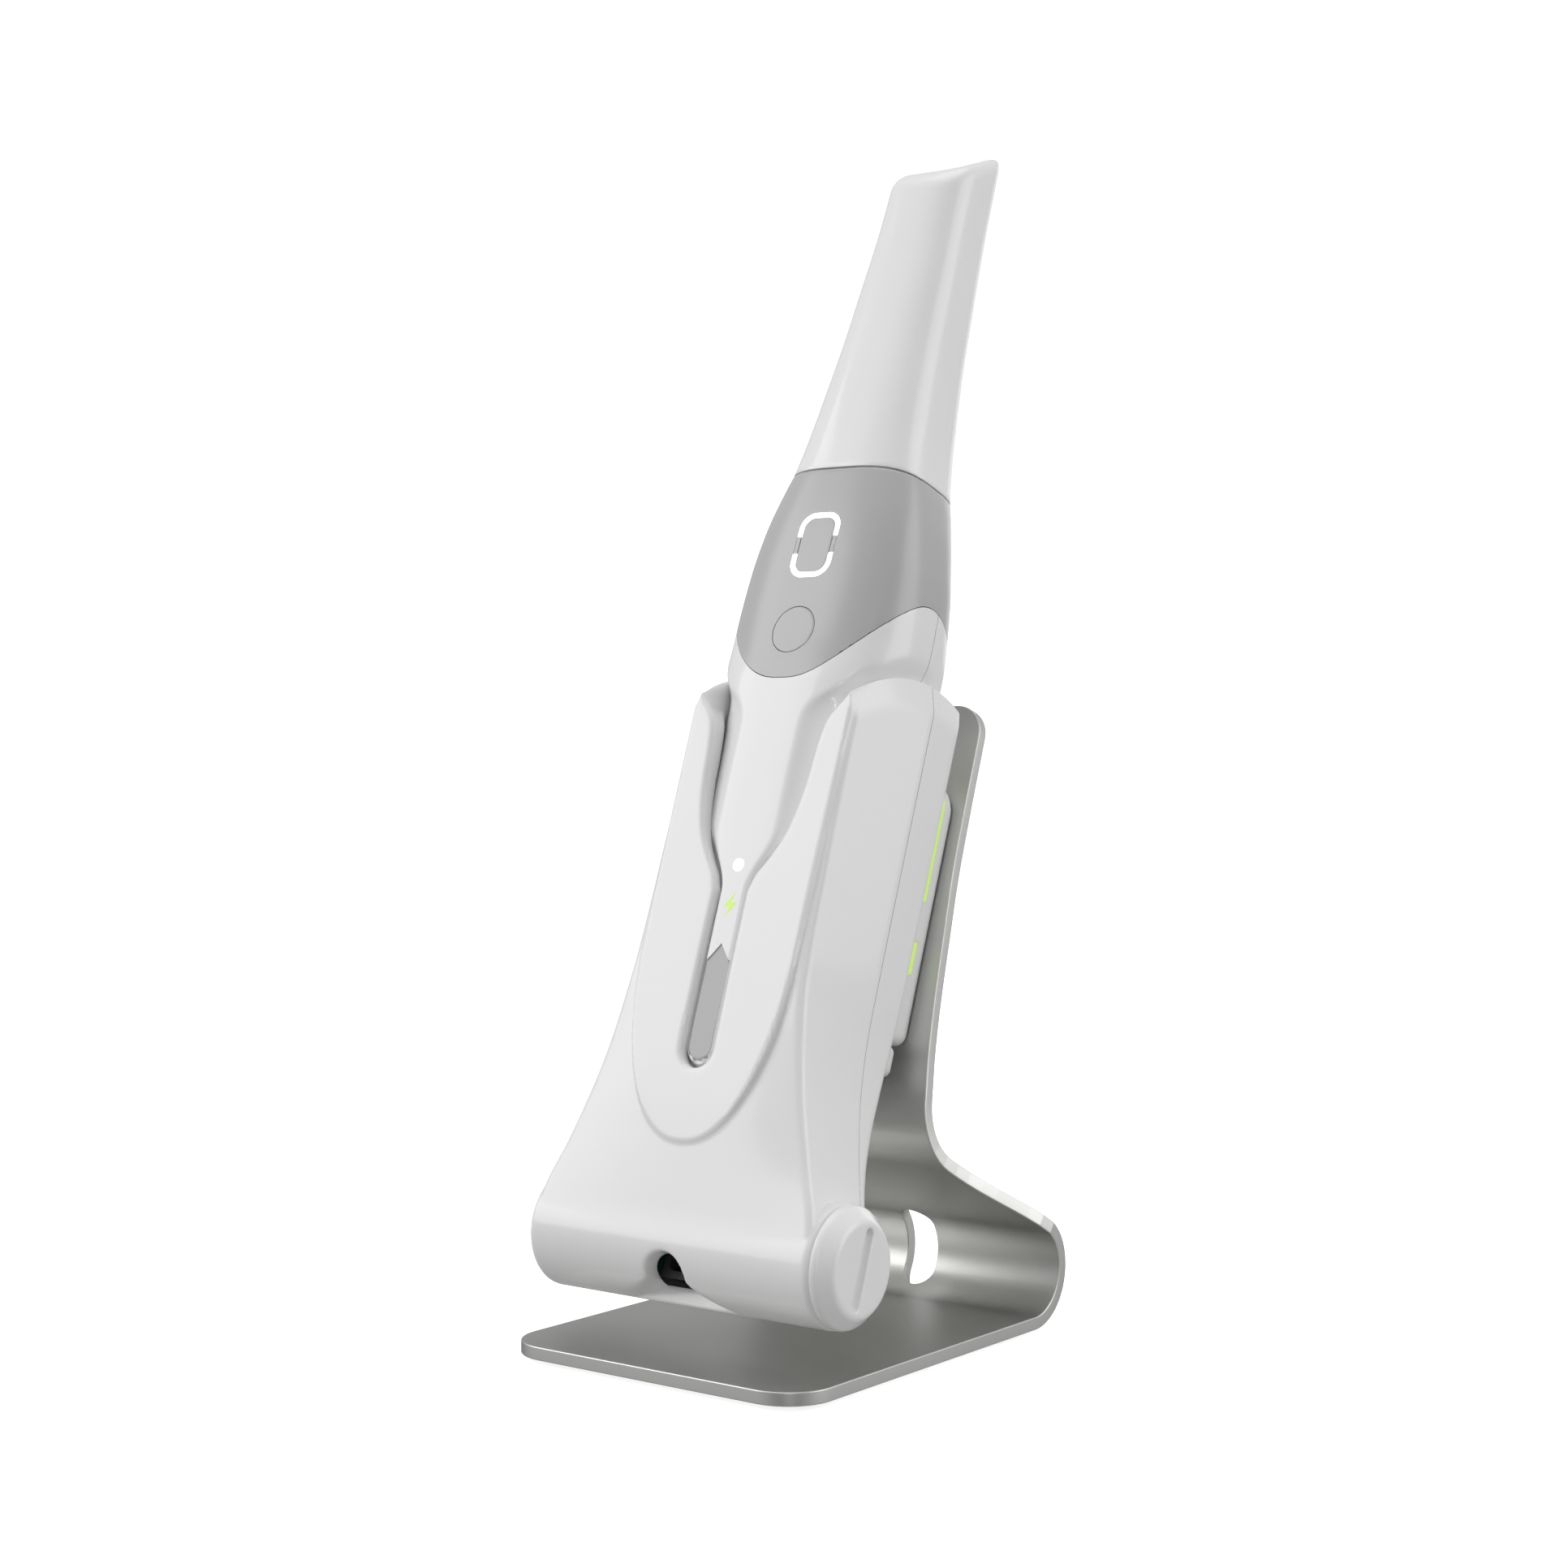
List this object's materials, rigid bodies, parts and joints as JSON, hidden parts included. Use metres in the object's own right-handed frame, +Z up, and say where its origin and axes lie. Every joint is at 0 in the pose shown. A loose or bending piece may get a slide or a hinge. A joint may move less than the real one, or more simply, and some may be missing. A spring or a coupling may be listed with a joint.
{
  "type": "intraoral camera",
  "caption": "Wireless handheld intraoral scanner with a long tapered tip and a grey collar, standing in a white charging cradle on a bent metal plate stand.",
  "frame": {"origin": "middle of the footprint, on the surface the rubber feet stand on", "axes": "+Z up, the front of the cradle faces -Y, +X is on the viewer's right; the cradle and scanner lean back 20 degrees towards +Y"},
  "size_m": [0.0848, 0.1284, 0.2809],
  "materials": {
    "white_plastic": "satin gloss injection moulding",
    "pearl_plastic": "satin",
    "grey_plastic": "satin gloss, soft vertical shading",
    "pale_grey_plastic": "matt",
    "dark_plastic": "matt",
    "rubber": "matt",
    "circuit_board": "solder mask",
    "blasted_aluminium": "bead blasted and anodised",
    "steel": "plain",
    "gold_contact": "plated",
    "green_light": "lit light guide",
    "white_light": "lit light guide",
    "lens_glass": "coated lens",
    "mirror": "front surface mirror",
    "battery_wrap": "shrink sleeve"
  },
  "bodies": {
    "stand": {"stand_plate": "blasted_aluminium", "rubber_foot_1": "rubber", "rubber_foot_2": "rubber", "rubber_foot_3": "rubber", "rubber_foot_4": "rubber", "plate_screw_1": "steel", "plate_screw_2": "steel", "plate_screw_3": "steel", "plate_screw_4": "steel", "module_housing": "pearl_plastic", "module_cover": "pearl_plastic", "hanger_block": "pearl_plastic", "long_light_right": "green_light", "long_light_left": "green_light", "short_light_right": "green_light", "short_light_left": "green_light", "light_board": "circuit_board", "cradle_front_shell": "white_plastic", "cradle_rear_shell": "white_plastic", "power_socket": "dark_plastic", "cradle_circuit_board": "circuit_board", "contact_block": "dark_plastic", "charge_pin_1": "gold_contact", "charge_pin_2": "gold_contact", "charge_pin_3": "gold_contact"},
    "coin_cap": {"coin_cap": "white_plastic", "cap_seal": "rubber"},
    "scanner": {"body_front_shell": "white_plastic", "body_rear_shell": "white_plastic", "name_insert": "pale_grey_plastic", "status_lens": "white_light", "charge_symbol_lens": "green_light", "collar": "grey_plastic", "ring_light_upper": "white_light", "ring_light_lower": "white_light", "battery_pack": "battery_wrap", "main_board": "circuit_board", "button_switches": "dark_plastic", "scan_switch": "dark_plastic", "camera_module": "dark_plastic", "radio_antenna": "gold_contact", "charge_pad_1": "gold_contact", "charge_pad_2": "gold_contact", "charge_pad_3": "gold_contact", "nose_barrel": "dark_plastic", "objective_lens": "lens_glass", "projector_lens": "lens_glass"},
    "scan_button": {"scan_button": "grey_plastic"},
    "power_button": {"power_button": "grey_plastic"},
    "tip": {"tip_sleeve": "white_plastic", "tip_mirror": "mirror"}
  },
  "joints": [
    {"name": "scanner_lift", "type": "slide", "parent": "stand", "child": "scanner", "axis": [0, 0.342, 0.9397], "range_m": [0, 0.16]},
    {"name": "tip_pull", "type": "slide", "parent": "scanner", "child": "tip", "axis": [0, 0.342, 0.9397], "range_m": [0, 0.05]},
    {"name": "scan_button_press", "type": "slide", "parent": "scanner", "child": "scan_button", "axis": [0, 0.9189, -0.3945], "range_m": [0, 0.0006], "stiffness_N_per_m": 600, "springref_m": -0.001},
    {"name": "power_button_press", "type": "slide", "parent": "scanner", "child": "power_button", "axis": [0, 0.915, -0.4035], "range_m": [0, 0.0006], "stiffness_N_per_m": 600, "springref_m": -0.001},
    {"name": "coin_cap_turn", "type": "hinge", "parent": "stand", "child": "coin_cap", "pos_m": [0, -0.04454, 0.0273], "axis": [1, 0, 0], "range_deg": [0, 90]}
  ]
}
